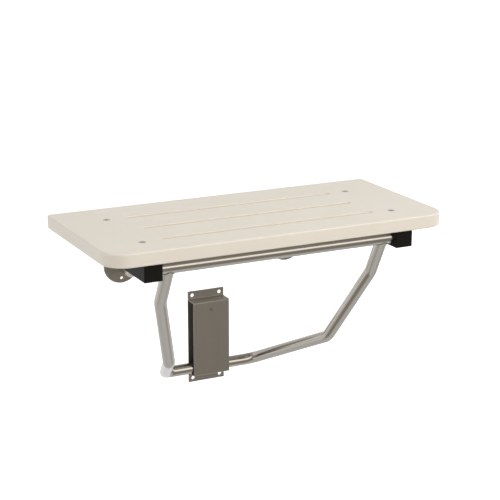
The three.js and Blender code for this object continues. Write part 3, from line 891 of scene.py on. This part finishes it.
def hinge_arm(side):
    """A bent arm from the flange's face up into the rear tube, welded at both ends."""
    flange_low, flange_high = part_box(f"wall_flange_{side}")
    x = (flange_low.x + flange_high.x) / 2
    height = (flange_low.z + flange_high.z) / 2
    foot = Vector((x, flange_low.y, height))
    corner = Vector((x, HINGE_AXIS.y, height))
    top = Vector((x, HINGE_AXIS.y, HINGE_AXIS.z - TUBE_RADIUS * (1 - ARM_SINK)))
    piece = swept_tube(f"bent_arm_{side}", bent_line([foot, corner, top], [ARM_BEND]), Vector((1, 0, 0)))
    place(piece, "root", "satin_tube", f"hinge_arm_{side}")
    # The bead sits 0.3 mm out from the corner between tube and flange.
    stand_off = 0.3 * MM
    ring = [Vector((x + across, foot.y - stand_off, height + up))
            for across, up in circle((0, 0), TUBE_RADIUS + stand_off, 220)]
    place(weld_bead(f"flange_weld_{side}", ring), "root", "satin_tube")
    saddle = saddle_points(corner, Vector((0, 0, 1)), HINGE_AXIS)
    place(weld_bead(f"rear_tube_weld_{side}", saddle), "root", "satin_tube")


def cross_tube(name, node, body, axis):
    """A straight tube from rail to rail. Both cross tubes have the same length."""
    low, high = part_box("rear_tube")
    ends = [Vector((low.x, axis.y, axis.z)), Vector((high.x, axis.y, axis.z))]
    place(swept_tube(name, bent_line(ends, [])), body, "satin_tube", node)


# ------------------------------------------------------------------ leg

def leg():
    """The U-shaped leg, from weld to weld under the front tube."""
    knee_x = LEG_HIGH.x - TUBE_RADIUS
    top = Vector((knee_x, FRONT_AXIS.y, FRONT_AXIS.z))
    shin = Vector((0, HEEL.y - FRONT_AXIS.y, HEEL.z - FRONT_AXIS.z)).normalized()
    knee = top + shin * KNEE_LENGTH
    start = top + shin * TUBE_RADIUS * (1 - LEG_SINK)
    bar_end = Vector((BAR_HALF, BAR_AXIS.y, BAR_AXIS.z))
    right = [start, knee, HEEL, bar_end]
    left = [Vector((-p.x, p.y, p.z)) for p in reversed(right)]
    bends = [KNEE_BEND, HEEL_BEND, BAR_BEND]
    piece = swept_tube("bent_leg", bent_line(right + left, bends + bends[::-1]), Vector((1, 0, 0)))
    place(piece, "leg", "satin_tube", "leg_tube")
    # The beads stay on the front tube.
    for side, sign in (("left", -1), ("right", 1)):
        foot = Vector((sign * knee_x, knee.y, knee.z))
        saddle = saddle_points(foot, -shin, FRONT_AXIS)
        place(weld_bead(f"leg_weld_{side}", saddle), "header", "satin_tube")


# ------------------------------------------------------------------ guide

def ear_spots():
    """The four wall holes in the guide's ears, as (across, up)."""
    x = PLATE_HIGH.x - EAR_HOLE_SIDE
    z = PLATE_HIGH.z - EAR_HOLE_END
    return [(sx * x, sz * z) for sx in (-1, 1) for sz in (-1, 1)]


def ear_hole_cutter(spot):
    profile = [(0, 3 * MM), (EAR_HOLE, 3 * MM), (EAR_HOLE, -8 * MM), (0, -8 * MM)]
    bm = moved(turned(profile, 40), turned_towards((0, 1, 0), Vector((spot[0], 0, spot[1]))))
    return finish_mesh(bm, "ear_hole", BRUSHED_SHEET)


def folded_strip(name, outline, half_width, material):
    """A bent strip: its closed outline of (distance from the wall, height), drawn out along X."""
    bm = bmesh.new()
    rings = []
    for x in (-half_width, half_width):
        rings.append([bm.verts.new((x, -out, height)) for out, height in outline])
    bridge(bm, rings[0], rings[1])
    fill(bm, rings[:1])
    fill(bm, rings[1:])
    return finish_mesh(bm, name, material)


def bend_arc(centre_out, centre_height, radius, start, end, count=6):
    """Points round a bend, for angles in degrees from the outward direction up."""
    points = []
    for i in range(count + 1):
        turn = math.radians(start + (end - start) * i / count)
        points.append((centre_out + radius * math.cos(turn), centre_height + radius * math.sin(turn)))
    return points


def guide_cover():
    """The folded cover: two ears against the back plate and a box that stands out between them."""
    foot = -COVER_HIGH.y
    face = -COVER_LOW.y
    end = COVER_HIGH.z
    top = COVER_RISE + COVER_HEIGHT / 2
    bottom = COVER_RISE - COVER_HEIGHT / 2
    big = SHEET_BEND
    small = SHEET_BEND - SHEET
    outline = [(foot, end), (foot + SHEET, end)]
    outline += bend_arc(foot + SHEET + small, top + small, small, 180, 270)
    outline += bend_arc(face - big, top - big, big, 90, 0)
    outline += bend_arc(face - big, bottom + big, big, 0, -90)
    outline += bend_arc(foot + SHEET + small, bottom - small, small, 90, 180)
    outline += [(foot + SHEET, -end), (foot, -end)]
    outline += bend_arc(foot + SHEET + small, bottom - small, big, 180, 90)
    outline += bend_arc(face - big, bottom + big, small, -90, 0)
    outline += bend_arc(face - big, top - big, small, 0, 90)
    outline += bend_arc(foot + SHEET + small, top + small, big, 270, 180)
    piece = folded_strip("folded_cover", outline, PLATE_HIGH.x, BRUSHED_SHEET)
    rivet_low, rivet_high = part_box("spring_rivet")
    rivet_z = (rivet_low.z + rivet_high.z) / 2
    hole = RIVET_PIN + HOLE_GAP
    pin = [(0, 0), (hole, 0), (hole, 8 * MM), (0, 8 * MM)]
    pin_place = turned_towards((0, 1, 0), Vector((0, COVER_LOW.y - 3 * MM, rivet_z)))
    pin_hole = finish_mesh(moved(turned(pin, 32), pin_place), "rivet_hole", BRUSHED_SHEET)
    carve(piece, [ear_hole_cutter(spot) for spot in ear_spots()] + [pin_hole])
    weigh_normals(soften(piece, SHEET_EDGE))
    place(piece, "root", "satin_plate", "guide_cover")


def guide_back_plate():
    """The flat plate that lies on the wall behind the cover."""
    openings = []
    lip = 0.2 * MM
    for spot in ear_spots():
        profile = [(EAR_HOLE + lip, -PLATE_LOW.y), (EAR_HOLE, -PLATE_LOW.y - lip), (EAR_HOLE, 0)]
        openings.append((lambda reach, spot=spot: circle((spot[0], spot[1]), reach, 32), profile))
    low = Vector((PLATE_LOW.x, PLATE_LOW.z, 0))
    high = Vector((PLATE_HIGH.x, PLATE_HIGH.z, 0))
    bm = plate(
        lambda inset: rounded_box_outline(low, high, 1 * MM, 1 * MM, inset, 4),
        0, -PLATE_LOW.y, SHEET_EDGE, SHEET_EDGE, openings, 3,
    )
    moved(bm, Matrix.Rotation(math.pi / 2, 4, "X"))
    piece = weigh_normals(finish_mesh(bm, "flat_back_plate", BRUSHED_SHEET))
    place(piece, "root", "satin_plate", "guide_back_plate")


def guide_spring():
    """A thin leaf with a smooth hump towards the wall."""
    face = -SPRING_LOW.y
    hump = (SPRING_HIGH.y - SPRING_LOW.y) - SPRING_LEAF
    middle = SPRING_HIGH.z - SPRING_HUMP_DROP
    steps = 48
    near, far = [], []
    for i in range(steps + 1):
        height = SPRING_LOW.z + (SPRING_HIGH.z - SPRING_LOW.z) * i / steps
        reach = max(0.0, 1 - abs(height - middle) / SPRING_HUMP_HALF)
        rise = hump * reach * reach * (3 - 2 * reach)
        near.append((face - SPRING_LEAF - rise, height))
        far.append((face - rise, height))
    piece = folded_strip("leaf_spring", near + far[::-1], SPRING_HIGH.x, SPRING_STEEL)
    weigh_normals(piece)
    place(piece, "root", "spring_steel", "guide_spring")


def spring_rivet():
    """A rivet with a low flat head on the cover's face, its rim rounded."""
    low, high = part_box("spring_rivet")
    middle = Vector((0, high.y, (low.z + high.z) / 2))
    length = high.y - low.y
    head = (high.x - low.x) / 2
    bevel = 0.2 * MM
    lip = 0.5 * MM
    shoulder = length - RIVET_HEAD_HEIGHT
    profile = [(0, 0), (RIVET_PIN - bevel, 0), (RIVET_PIN, bevel), (RIVET_PIN, shoulder)]
    for i in range(6):
        turn = math.pi / 2 * i / 5
        profile.append((head - lip * (1 - math.cos(turn)), shoulder + RIVET_HEAD_HEIGHT * math.sin(turn)))
    profile.append((0, length))
    bm = moved(turned(profile, 40), turned_towards((0, -1, 0), middle))
    piece = finish_mesh(bm, "flat_head_rivet", DULLED_RIVET)
    place(piece, "root", "plain_steel", "spring_rivet")


def guide_sleeve():
    """The plain bearing sleeve that the bar turns in."""
    outer = (SLEEVE_HIGH.z - SLEEVE_LOW.z) / 2
    inner = TUBE_RADIUS + BORE_GAP
    half = SLEEVE_HIGH.x
    lip = 0.3 * MM
    profile = [(inner, -half), (outer - lip, -half), (outer, -half + lip), (outer, half - lip),
               (outer - lip, half), (inner, half)]
    bm = moved(turned(profile, 56), turned_towards((1, 0, 0), BAR_AXIS))
    piece = finish_mesh(bm, "bearing_sleeve", BLACK_NYLON)
    place(piece, "slider", "black_nylon", "guide_sleeve")


# ------------------------------------------------------------------ assembly

seat_board()
for side, sign in (("left", -1), ("right", 1)):
    rail(side, sign)
    wall_flange(side)
    hinge_arm(side)
for name, spot in SCREW_SPOTS.items():
    seat_screw(name, spot)
    seat_washer(name, spot)
    seat_nut(name, spot)
cross_tube("straight_rear_tube", "rear_tube", "root", HINGE_AXIS)
cross_tube("straight_front_tube", "front_tube", "header", FRONT_AXIS)
leg()
guide_back_plate()
guide_cover()
guide_spring()
spring_rivet()
guide_sleeve()


# ------------------------------------------------------------------ room, lights and camera

def studio_cove():
    """A pale floor that curves up into a plain wall and ceiling. The camera sees it, but it is left
    out of the light that falls on the seat."""
    profile = [(0, FLOOR_HEIGHT), (COVE_RADIUS - COVE_BEND, FLOOR_HEIGHT)]
    for i in range(1, 13):
        turn = math.pi / 2 * i / 12
        reach = COVE_RADIUS - COVE_BEND * (1 - math.sin(turn))
        profile.append((reach, FLOOR_HEIGHT + COVE_BEND * (1 - math.cos(turn))))
    profile += [(COVE_RADIUS, COVE_HEIGHT), (0, COVE_HEIGHT + COVE_BEND)]
    material, tree, shader = blank_finish("pale_studio_paint")
    shader.inputs["Base Color"].default_value = linear("#fafafa")
    shader.inputs["Roughness"].default_value = 0.9
    shader.inputs["Specular IOR Level"].default_value = 0.1
    shader.inputs["Emission Color"].default_value = linear("#ffffff")
    shader.inputs["Emission Strength"].default_value = 0.6
    cove = finish_mesh(turned(profile, 96), "studio_cove", material)
    cove.visible_glossy = False
    cove.visible_diffuse = False
    cove.visible_shadow = False


def room_surroundings():
    """Studio surroundings: a bright band in front, a darker ceiling, a dim low front and a light
    rear, as a metal tube shows them."""
    world = bpy.data.worlds.new("studio")
    bpy.context.scene.world = world
    world.use_nodes = True
    tree = world.node_tree
    background = tree.nodes["Background"]
    direction = add_node(tree, "ShaderNodeTexCoord")
    parts = add_node(tree, "ShaderNodeSeparateXYZ", (), {"Vector": direction.outputs["Generated"]})
    height = add_node(tree, "ShaderNodeMapRange", {"From Min": -1.0, "From Max": 1.0},
                      {"Value": parts.outputs["Z"]})
    # Each band is an elevation in degrees, a brightness, and how warm it is.
    front_bands = [(-90, 0.75, 0), (-58, 0.72, 0), (-44, 0.33, 1), (-4, 0.31, 1),
                   (9, 1.65, 0.3), (26, 1.70, 0.3), (38, 0.35, 1), (90, 0.36, 0.5)]
    rear_bands = [(-90, 0.65, 0), (-40, 0.75, 0), (-16, 1.00, 0), (10, 0.95, 0),
                  (30, 0.50, 0.3), (90, 0.30, 0.5)]
    ramps = []
    for bands in (front_bands, rear_bands):
        ramp = add_node(tree, "ShaderNodeValToRGB", (), {"Fac": height.outputs["Result"]})
        stops = ramp.color_ramp.elements
        while len(stops) < len(bands):
            stops.new(0.5)
        for stop, (elevation, level, warmth) in zip(stops, bands):
            stop.position = (math.sin(math.radians(elevation)) + 1) / 2
            stop.color = (level, level * (1 - 0.08 * warmth), level * (1 - 0.20 * warmth), 1)
        ramps.append(ramp)
    frontness = add_node(tree, "ShaderNodeMapRange",
                         {"From Min": 0.25, "From Max": -0.25, "interpolation_type": "SMOOTHSTEP"},
                         {"Value": parts.outputs["Y"]})
    light = add_node(tree, "ShaderNodeMix", {"data_type": "RGBA"}, {"Factor": frontness.outputs["Result"]})
    tree.links.new(ramps[1].outputs["Color"], light.inputs["A"])
    tree.links.new(ramps[0].outputs["Color"], light.inputs["B"])
    tree.links.new(light.outputs["Result"], background.inputs["Color"])
    background.inputs["Strength"].default_value = 1.0


def soft_light(name, spot, target, size, power):
    light = bpy.data.lights.new(name, "AREA")
    light.shape = "SQUARE"
    light.size = size
    light.energy = power
    lamp = bpy.data.objects.new(name, light)
    lamp.location = spot
    lamp.rotation_euler = (Vector(target) - Vector(spot)).to_track_quat("-Z", "Y").to_euler()
    lamp.visible_glossy = False
    bpy.context.scene.collection.objects.link(lamp)


def camera():
    lens = bpy.data.cameras.new("camera")
    lens.lens = CAMERA_LENS
    lens.sensor_width = 36
    viewer = bpy.data.objects.new("camera", lens)
    viewer.location = CAMERA_PLACE
    viewer.rotation_euler = VIEW_DIRECTION.to_track_quat("-Z", "Y").to_euler()
    bpy.context.scene.collection.objects.link(viewer)
    bpy.context.scene.camera = viewer


studio_cove()
room_surroundings()
soft_light("key", (1.6, -1.8, 1.9), (0, -0.2, 0.2), 1.6, 25)
soft_light("overhead", (-0.3, -0.6, 2.4), (0, -0.2, 0.2), 2.0, 11)
soft_light("floor_bounce", (0.4, -2.3, -0.7), (0, -0.3, 0.2), 1.5, 3)
camera()
bpy.context.scene.view_settings.view_transform = "Standard"
